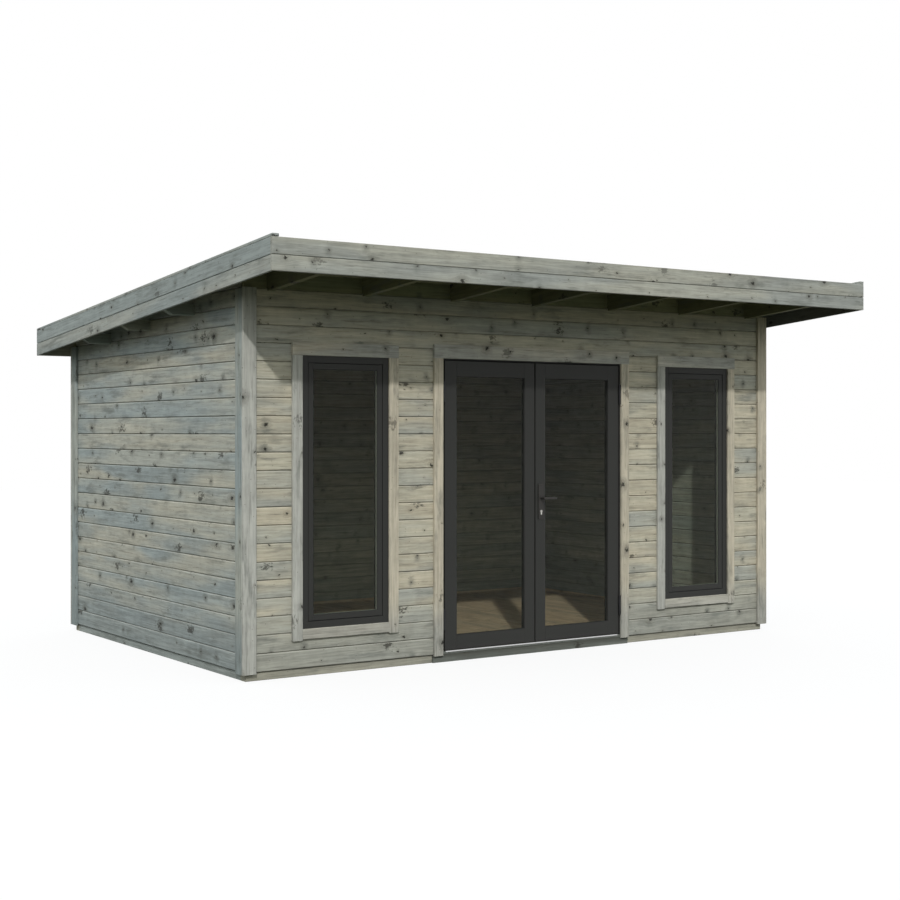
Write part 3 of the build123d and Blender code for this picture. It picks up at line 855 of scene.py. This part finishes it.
def build_corner_boards():
    """Upright boards that cover the corners, with their tops under the rafters."""
    low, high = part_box("corner_boards_front_back")
    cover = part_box("corner_boards_sides")[1].x - SIDE
    width = CORNER_WIDTH
    piece = Piece("corner_trim")
    for x_low, tone in ((low.x, COOL_TONE), (high.x - width, WARM_TONE)):
        for y in (low.y, BACK):
            piece.bar(
                low.z, rafter_z(y + cover), x_low, x_low + width, 0, cover,
                upright_front(y), f"front {x_low:.3f} {y:.3f}", tone=tone,
            )
    piece.build(TRIM_WOOD, "trim_timber", "house", "corner_boards_front_back")
    sides = Piece("side_corner_trim")
    for x, inward in ((low.x, 1), (high.x, -1)):
        for y_low in (FRONT, BACK - width):
            sides.bar(
                low.z, rafter_z(y_low + width), y_low, y_low + width, 0, cover,
                upright_side(x, inward), f"side {x:.3f} {y_low:.3f}",
            )
    sides.build(SHADED_SIDE_TRIM_WOOD, "trim_timber", "house", "corner_boards_sides")


def build_casings():
    """Boards round the windows and the door."""
    side_low, side_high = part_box("window_side_casings")
    cross_low, cross_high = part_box("window_cross_casings")
    thickness = side_high.y - side_low.y
    half = cross_high.x - WINDOW_CENTRE
    windows = Piece("window_trim")
    for x in WINDOW_CENTRES:
        for x_low, tone in ((x - half, COOL_TONE), (x + half - CASING_WIDTH, WARM_TONE)):
            windows.bar(
                side_low.z, side_high.z, x_low, x_low + CASING_WIDTH, 0, thickness,
                upright_front(side_low.y), f"side {x_low:.3f}", tone=tone,
            )
        windows.bar(
            x - half, x + half, side_high.z, cross_high.z, 0, thickness,
            facing_front(side_low.y), f"head {x:.3f}",
        )
        windows.bar(
            x - half + CASING_WIDTH, x + half - CASING_WIDTH,
            cross_low.z, cross_low.z + WINDOW_SILL_CASING, 0, thickness,
            facing_front(side_low.y), f"sill {x:.3f}",
        )
    windows.build(TRIM_WOOD, "trim_timber", "house", "window_side_casings", "window_cross_casings")

    low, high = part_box("door_side_casings")
    head_low, head_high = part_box("door_head_casing")
    door = Piece("door_trim")
    for x_low in (low.x, high.x - CASING_WIDTH):
        door.bar(
            low.z, high.z, x_low, x_low + CASING_WIDTH, 0, thickness,
            upright_front(low.y), f"side {x_low:.3f}", tone=WARM_TONE,
        )
    door.bar(
        head_low.x, head_high.x, head_low.z, head_high.z, 0, thickness, facing_front(low.y), "head",
    )
    door.build(TRIM_WOOD, "trim_timber", "house", "door_side_casings", "door_head_casing")


def build_base():
    """Ground beams, bearers, floor boards and skirting."""
    low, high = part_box("base_beams_long")
    base_front = low.y
    beams = Piece("base_frame")
    for y_low in (low.y, high.y - BASE_WIDTH):
        beams.bar(
            low.x, high.x, low.z, high.z, 0, BASE_WIDTH,
            facing_front(y_low), f"long {y_low:.3f}", BEAM_EDGE,
        )
    y_low = low.y + BASE_WIDTH
    y_high = high.y - BASE_WIDTH
    sides = Piece("side_base_frame")
    for x, inward in ((low.x, 1), (high.x, -1)):
        sides.bar(
            y_low, y_high, low.z, high.z, 0, BASE_WIDTH,
            facing_side(x, inward), f"cross {x:.3f}", BEAM_EDGE,
        )
    sides.build(SHADED_SIDE_BASE_WOOD, "base_timber", "house", "base_beams_cross")
    spacing = (high.x - low.x) / (BEARER_COUNT + 1)
    for index in range(BEARER_COUNT):
        x = low.x + (index + 1) * spacing
        beams.bar(
            y_low, y_high, x - BEARER_WIDTH / 2, x + BEARER_WIDTH / 2, low.z, high.z,
            lying_y, f"bearer {index}", BEAM_EDGE,
        )
    beams.build(BASE_WOOD, "base_timber", "house", "base_beams_long", "floor_bearers")

    low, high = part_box("floor_boards")
    count = round((high.x - low.x) / FLOOR_PITCH)
    width = (high.x - low.x) / count

    def floor_place(u, v, w):
        return (v, u, high.z - w)

    floor = Piece("floor_planks")
    for index in range(count):
        v_low = low.x + index * width
        floor.plank(
            low.y, high.y, v_low, v_low + width, high.z - low.z, floor_place, index,
            (FLOOR_CHAMFER, FLOOR_CHAMFER),
        )
    floor.build(FLOOR_WOOD, "floor_timber", "house", "floor_boards")

    low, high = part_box("skirting")
    sill_low, sill_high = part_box("door_sill")
    strips = Piece("skirting_strips")
    strips.bar(
        low.x, high.x, low.z, high.z, 0, SKIRTING_THICKNESS,
        facing_front(high.y - SKIRTING_THICKNESS), "back",
    )
    for x, inward in ((low.x, 1), (high.x, -1)):
        strips.bar(
            low.y, high.y - SKIRTING_THICKNESS, low.z, high.z, 0, SKIRTING_THICKNESS,
            facing_side(x, inward), f"side {x:.3f}",
        )
    strips.build(FLOOR_WOOD, "floor_timber", "house", "skirting")

    sill = Piece("sill_board")
    sill_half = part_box("front_wall_header")[1].x
    sill.bar(
        -sill_half, sill_half, BASE_TOP, sill_high.z, 0, sill_high.y - sill_low.y,
        facing_front(sill_low.y), "sill",
    )
    # The apron is darkest at its top and plain at its bottom: painted shade under the sill
    depth = base_front - sill_low.y
    profile = [
        (sill_low.z, 0, 0),
        (BASE_TOP, 0, APRON_PAINTED_SHADE),
        (BASE_TOP, depth, APRON_PAINTED_SHADE),
        (sill_low.z, depth, 0),
    ]
    sill.prism(profile, sill_low.x, sill_high.x, facing_front(sill_low.y), "apron")
    sill.build(SHADED_SILL_WOOD, "base_timber", "house", "door_sill")


def ring(piece, x_low, x_high, z_low, z_high, y_low, y_high, widths, edge=PAINT_EDGE):
    """Two stiles with two rails between them; widths are of the low, high, bottom and top one."""
    low, high, bottom, top = widths
    depth = y_high - y_low
    place = upright_front(y_low)
    piece.bar(z_low, z_high, x_low, x_low + low, 0, depth, place, "low stile", edge)
    piece.bar(z_low, z_high, x_high - high, x_high, 0, depth, place, "high stile", edge)
    place = facing_front(y_low)
    ends = (x_low + low, x_high - high)
    piece.bar(*ends, z_low, z_low + bottom, 0, depth, place, "bottom", edge)
    piece.bar(*ends, z_high - top, z_high, 0, depth, place, "top", edge)


def glazing(piece, seals, x_low, x_high, z_low, z_high, y_front, y_glass):
    """Sloped beads in front of a pane, and the rubber between them and the glass."""
    slant = BEAD_SHARE * (y_glass - y_front) - SEAL_DEPTH
    profile = [(0, 0, 0), (0, -slant, 0), (BEAD_NOSE, -slant, 0), (BEAD_WIDTH, 0, 0)]
    y_bead = y_glass - SEAL_DEPTH
    sides = (
        (lambda u, v, w: (x_low + v, y_bead + w, u), z_low, z_high),
        (lambda u, v, w: (x_high - v, y_bead + w, u), z_low, z_high),
        (lambda u, v, w: (u, y_bead + w, z_low + v), x_low, x_high),
        (lambda u, v, w: (u, y_bead + w, z_high - v), x_low, x_high),
    )
    for index, (place, low, high) in enumerate(sides):
        piece.prism(profile, low, high, place, f"bead {index} {x_low:.3f}")
    widths = [BEAD_WIDTH + SEAL_WIDTH] * 4
    ring(seals, x_low, x_high, z_low, z_high, y_bead, y_glass, widths, SEAL_EDGE)


def build_windows():
    """Frames with their stops, sashes with beads and rubber, and the panes' metal spacers."""
    low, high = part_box("window_frames")
    sash_low, sash_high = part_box("window_sashes")
    pane_low, pane_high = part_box("window_panes")
    frames = Piece("window_frame_bars")
    sashes = Piece("window_sash_bars")
    seals = Piece("window_seals")
    spacers = Piece("window_spacers")
    half = high.x - WINDOW_CENTRE
    sash_half = sash_high.x - WINDOW_CENTRE
    face = WINDOW_FRAME_FACE
    for x in WINDOW_CENTRES:
        ring(frames, x - half, x + half, low.z, high.z, low.y, high.y, [face] * 4)
        ring(
            frames, x - half + face, x + half - face, low.z + face, high.z - face,
            high.y - STOP_DEPTH, high.y, [STOP_LAP] * 4,
        )
        ring(
            sashes, x - sash_half, x + sash_half, sash_low.z, sash_high.z,
            sash_low.y, sash_high.y, [SASH_FACE] * 4,
        )
        opening = (
            x - sash_half + SASH_FACE, x + sash_half - SASH_FACE,
            sash_low.z + SASH_FACE, sash_high.z - SASH_FACE,
        )
        glazing(sashes, seals, *opening, sash_low.y, pane_low.y)
        ring(spacers, *opening, pane_high.y, pane_high.y + SPACER_DEPTH, [SPACER_WIDTH] * 4, SEAL_EDGE)
    frames.build(ANTHRACITE, "joinery_paint", "house", "window_frames")
    sashes.build(ANTHRACITE, "joinery_paint", "house", "window_sashes")
    seals.build(RUBBER, "joinery_paint", "house")
    spacers.build(SPACER_GREY, "threshold_metal", "house")


def build_door_frame():
    """Jambs and head, each with a stop behind the leaves."""
    low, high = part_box("door_jambs")
    head_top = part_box("door_head_jamb")[1].z
    depth = high.y - low.y
    stop_front = depth - JAMB_STOP_DEPTH
    head_bottom = high.z
    jambs = Piece("door_frame_bars")
    stop_reach = JAMB_FACE + JAMB_STOP_LAP
    for name, place in (
        ("left", lambda u, v, w: (low.x + v, low.y + w, u)),
        ("right", lambda u, v, w: (high.x - v, low.y + w, u)),
    ):
        jambs.bar(low.z, high.z, 0, JAMB_FACE, 0, depth, place, f"{name} jamb", PAINT_EDGE)
        jambs.bar(
            low.z, high.z, JAMB_FACE, stop_reach, stop_front, depth, place, f"{name} stop", PAINT_EDGE,
        )
    place = facing_front(low.y)
    jambs.bar(low.x, high.x, head_bottom, head_top, 0, depth, place, "head", PAINT_EDGE)
    jambs.bar(
        low.x + stop_reach, high.x - stop_reach, head_bottom - HEAD_STOP, head_bottom,
        stop_front, depth, place, "head stop", PAINT_EDGE,
    )
    jambs.build(ANTHRACITE, "joinery_paint", "house", "door_jambs", "door_head_jamb")


def build_leaves():
    """Stiles and rails of the two leaves, with the beads and rubber round their panes."""
    for name in ("left", "right"):
        low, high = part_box(f"{name}_leaf")
        y_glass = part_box(f"{name}_leaf_pane")[0].y
        stiles = (HINGE_STILE, MEETING_STILE)
        if name == "right":
            stiles = (MEETING_STILE, HINGE_STILE)
        leaf = Piece(f"{name}_leaf_bars")
        seals = Piece(f"{name}_leaf_seals")
        widths = (*stiles, BOTTOM_RAIL, TOP_RAIL)
        ring(leaf, low.x, high.x, low.z, high.z, low.y, high.y, widths)
        glazing(
            leaf, seals, low.x + stiles[0], high.x - stiles[1],
            low.z + BOTTOM_RAIL, high.z - TOP_RAIL, low.y, y_glass,
        )
        leaf.build(ANTHRACITE, "joinery_paint", f"{name}_door", f"{name}_leaf")
        seals.build(RUBBER, "joinery_paint", f"{name}_door")


def build_roof():
    """Purlins, rafters, blocks between them, deck boards and felt."""
    low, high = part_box("purlins")
    middle = (FRONT + BACK) / 2
    spacing = ((high.y - PURLIN_WIDTH / 2) - middle) / ((PURLIN_COUNT - 1) / 2)
    seats = [(FRONT, FRONT_INSIDE), (BACK_INSIDE, BACK)]
    purlins = Piece("purlin_bars")
    for index in range(PURLIN_COUNT):
        y = middle + (index - (PURLIN_COUNT - 1) / 2) * spacing
        depth = (y - PURLIN_WIDTH / 2, y + PURLIN_WIDTH / 2)
        seats.append(depth)
        bottom = -PURLIN_DEPTH
        outline = [
            (low.x + PURLIN_CHAMFER_LENGTH, bottom),
            (high.x - PURLIN_CHAMFER_LENGTH, bottom),
            (high.x, bottom + PURLIN_CHAMFER_HEIGHT),
            (high.x, 0),
            (low.x, 0),
            (low.x, bottom + PURLIN_CHAMFER_HEIGHT),
        ]
        purlins.solid(outline, depth, along_eaves, index)
    purlins.build(SHADED_PURLIN_WOOD, "roof_timber", "house", "purlins")

    low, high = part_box("rafters")
    spacing = (high.x - low.x - RAFTER_WIDTH) / (RAFTER_COUNT - 1)
    lefts = [low.x + index * spacing for index in range(RAFTER_COUNT)]
    outline = [(low.y, -RAFTER_SEAT)]
    for y_low, y_high in sorted(seats):
        outline += [(y_low, -RAFTER_SEAT), (y_low, 0), (y_high, 0), (y_high, -RAFTER_SEAT)]
    outline += [(high.y, -RAFTER_SEAT), (high.y, RAFTER_DEPTH), (low.y, RAFTER_DEPTH)]
    rafters = Piece("rafter_bars")
    for index, x_low in enumerate(lefts):
        rafters.solid(outline, (x_low, x_low + RAFTER_WIDTH), down_roof, index)
    rafters.build(SHADED_RAFTER_WOOD, "roof_timber", "house", "rafters")

    block_low, block_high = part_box("eave_blocks")
    starts = [-SIDE] + [x_low + RAFTER_WIDTH for x_low in lefts]
    stops = lefts + [SIDE]
    blocks = Piece("eave_block_bars")
    for x_low, x_high in zip(starts, stops):
        for y_low in (block_low.y, block_high.y - EAVE_BLOCK):
            blocks.bar(
                x_low, x_high, 0, RAFTER_DEPTH, y_low, y_low + EAVE_BLOCK,
                along_eaves, f"{x_low:.3f} {y_low:.3f}",
            )
    blocks.build(SHADED_ROOF_WOOD, "roof_timber", "house", "eave_blocks")

    low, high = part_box("roof_boards")
    count = round((high.y - low.y) / DECK_PITCH)
    width = (high.y - low.y) / count
    deck = Piece("deck_planks")
    for index in range(count):
        v_low = low.y + index * width
        deck.plank(
            low.x, high.x, v_low, v_low + width, DECK,
            over_rafters(RAFTER_DEPTH), index, (DECK_CHAMFER, DECK_CHAMFER),
        )
    deck.build(SHADED_ROOF_WOOD, "roof_timber", "house", "roof_boards")

    low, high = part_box("roof_felt")
    under_lap = FELT_THICKNESS - FELT_STEP
    sheets = Piece("felt_sheets")
    count = math.ceil((high.y - low.y) / (FELT_WIDTH - FELT_LAP))
    reach = (high.y - low.y) / count
    for index in range(count):
        v_low = low.y + index * reach
        v_high = min(v_low + reach + FELT_LAP, high.y)
        rise = FELT_STEP if v_high < high.y else 0
        profile = [
            (v_low, 0, 0),
            (v_low, under_lap, 0),
            (v_low + FELT_LAP, under_lap, 0),
            (v_high, under_lap + rise, 0),
            (v_high, 0, 0),
        ]
        sheets.prism(profile, low.x, high.x, over_rafters(RAFTER_DEPTH + DECK), index)
    sheets.build(FELT, "roof_felt", "house", "roof_felt")


def build_fascias():
    """Pairs of boards round the roof's edges and the strips on top of the side ones."""
    low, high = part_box("front_fascia")
    drop = rafter_z(high.y) - low.z
    groove = -drop + FASCIA_BOARD
    upper = groove + FASCIA_GROOVE
    top = upper + FASCIA_TOP_BOARD
    fascias = Piece("fascia_boards")
    for board_low, board_high in ((-drop, groove), (upper, top)):
        fascias.bar(
            low.x, high.x, board_low, board_high, low.y, high.y, along_eaves, f"front {board_low:.3f}",
        )
    fascias.bar(
        low.x, high.x, groove, upper, low.y + FASCIA / 2, high.y,
        along_eaves, "front tongue", TONGUE_EDGE,
    )
    low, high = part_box("back_fascia")
    fascias.bar(low.x, high.x, -drop, RAFTER_DEPTH, low.y, high.y, along_eaves, "back")
    fascias.build(FASCIA_WOOD, "fascia_timber", "house", "front_fascia", "back_fascia")

    sides = Piece("side_fascia_boards")
    for name in ("left", "right"):
        low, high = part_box(f"{name}_fascia")
        inner = (low.x + FASCIA / 2, high.x)
        # The fascias' inner faces under the roof are darkened: painted shade
        dirt_and_painted_light = (0, UNDER_ROOF_PAINTED_SHADE)
        if name == "right":
            inner = (low.x, high.x - FASCIA / 2)
            dirt_and_painted_light = (UNDER_ROOF_PAINTED_SHADE, 0)
        for board_low, board_high, tone in ((-drop, groove, None), (upper, top, COOL_TONE)):
            sides.bar(
                low.y, high.y, board_low, board_high, low.x, high.x,
                down_roof, f"{name} {board_low:.3f}", tone=tone, dirt_and_painted_light=dirt_and_painted_light,
            )
        sides.bar(low.y, high.y, groove, upper, *inner, down_roof, f"{name} tongue", TONGUE_EDGE)
    sides.build(SHADED_SIDE_FASCIA_WOOD, "fascia_timber", "house", "left_fascia", "right_fascia")

    low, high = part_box("side_caps")
    cap_top = high.z - rafter_z(low.y)
    caps = Piece("cap_strips")
    for x_low, x_high in ((low.x, low.x + CAP_WIDTH), (high.x - CAP_WIDTH, high.x)):
        caps.bar(low.y, high.y, top, cap_top, x_low, x_high, down_roof, f"{x_low:.3f}")
    caps.build(SHADED_SIDE_FASCIA_WOOD, "fascia_timber", "house", "side_caps")


def round_heads(piece, centres, y, outward):
    """Low round screw heads on an upright face."""
    for index, (x, z) in enumerate(centres):
        outline = []
        for step in range(SCREW_SIDES):
            turn = 2 * math.pi * step / SCREW_SIDES
            outline.append((x + SCREW_RADIUS * math.cos(turn), z + SCREW_RADIUS * math.sin(turn)))
        piece.solid(outline, (y, y + outward * SCREW_HEIGHT), on_face, f"{index} {y:.3f}")


def build_lock_details():
    """Screws in the lock plates, and a thin black slab on the cylinder where the key's slot is:
    painted shade of the keyway.
    """
    low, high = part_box("lock_plates")
    x = (low.x + high.x) / 2
    heads = Piece("plate_screws")
    centres = [(x, low.z + SCREW_INSET), (x, high.z - SCREW_INSET)]
    round_heads(heads, centres, low.y, -1)
    round_heads(heads, centres, high.y, 1)
    heads.build(HANDLE_METAL, "handle_metal", "right_door")

    low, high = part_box("lock_cylinder")
    barrel = (high.x - low.x) / 2
    z = high.z - barrel
    # A black slab, not a cut: painted shade in the key's slot
    slots = Piece("key_slots")
    half = KEY_SLOT_WIDTH / 2
    rise = KEY_SLOT_HEIGHT / 2
    outline = [(x - half, z - rise), (x + half, z - rise), (x + half, z + rise), (x - half, z + rise)]
    for y, outward in ((low.y, -1), (high.y, 1)):
        depth = (y - outward * KEY_SLOT_DEPTH, y + outward * KEY_SLOT_DEPTH)
        slots.solid(outline, depth, on_face, f"{y:.3f}")
    slots.build(RUBBER, "lock_metal", "right_door")


def dress_nodes():
    """Materials of the CAD nodes that show as they are."""
    finishes = (
        (GLASS, "window_panes", "left_leaf_pane", "right_leaf_pane"),
        (ALUMINIUM, "door_threshold"),
        (HINGE_METAL, "frame_hinges", "left_leaf_hinges", "right_leaf_hinges"),
        (HANDLE_METAL, "lock_plates", "lever_handle"),
        (LOCK_STEEL, "lock_cylinder"),
    )
    for material, *names in finishes:
        for name in names:
            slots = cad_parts[name].data.materials
            for index in range(len(slots)):
                slots[index] = material


def build_floor(scene):
    """A pale floor that gives the house a little light from below."""
    half = FLOOR_SIZE / 2
    mesh = bpy.data.meshes.new("studio_floor")
    mesh.from_pydata(
        [(-half, -half, 0), (half, -half, 0), (half, half, 0), (-half, half, 0)], [], [(0, 1, 2, 3)]
    )
    s = Shader("studio_floor")
    pale = s.node("ShaderNodeBsdfDiffuse", {"Color": FLOOR_PALE})
    bounce = s.node("ShaderNodeBsdfDiffuse", {"Color": FLOOR_BOUNCE})
    glow = s.node("ShaderNodeEmission", {"Color": WHITE, "Strength": 1.0})
    mesh.materials.append(s.finish(s.blend(s.seen(), bounce, s.blend(FLOOR_WHITE, pale, glow))))
    floor = bpy.data.objects.new("studio_floor", mesh)
    scene.collection.objects.link(floor)


def build_surroundings(scene):
    """White where it is seen, and a soft sky for all other light."""
    world = bpy.data.worlds.new("studio")
    world.use_nodes = True
    s = Nodes(world.node_tree)
    place = s.node("ShaderNodeTexCoord", {}).outputs["Generated"]
    height = s.node("ShaderNodeSeparateXYZ", {0: place}).outputs[2]
    sky = s.node("ShaderNodeValToRGB", {0: height})
    steps = sky.color_ramp.elements
    while len(steps) < len(SKY_SHADES):
        steps.new(0.5)
    for step, (rise, shade) in zip(steps, SKY_SHADES):
        step.position = rise
        step.color = shade
    fill = s.node("ShaderNodeBackground", {"Color": sky.outputs[0]})
    white = s.node("ShaderNodeBackground", {"Color": WHITE})
    s.node("ShaderNodeOutputWorld", {"Surface": s.blend(s.seen(), fill, white).outputs[0]})
    scene.world = world


def build_studio():
    """Floor, surroundings, one soft key light and the camera."""
    scene = bpy.context.scene
    build_floor(scene)
    build_surroundings(scene)

    lamp = bpy.data.lights.new("key", "SUN")
    lamp.energy = SUN_STRENGTH
    lamp.angle = SUN_SOFTNESS
    key = bpy.data.objects.new("key", lamp)
    level = math.cos(SUN_ELEVATION)
    towards = Vector(
        (-math.sin(SUN_AZIMUTH) * level, -math.cos(SUN_AZIMUTH) * level, math.sin(SUN_ELEVATION))
    )
    key.rotation_euler = towards.to_track_quat("Z", "Y").to_euler()
    scene.collection.objects.link(key)

    camera = bpy.data.cameras.new("camera")
    camera.sensor_width = CAMERA_SENSOR
    camera.lens = CAMERA_LENS
    camera.shift_y = CAMERA_SHIFT
    viewer = bpy.data.objects.new("camera", camera)
    viewer.location = CAMERA_PLACE
    viewer.rotation_euler = (math.pi / 2, 0, CAMERA_TURN)
    scene.collection.objects.link(viewer)
    scene.camera = viewer
    scene.view_settings.view_transform = "Standard"


build_walls()
build_corner_boards()
build_casings()
build_base()
build_windows()
build_door_frame()
build_leaves()
build_roof()
build_fascias()
build_lock_details()
dress_nodes()
build_studio()
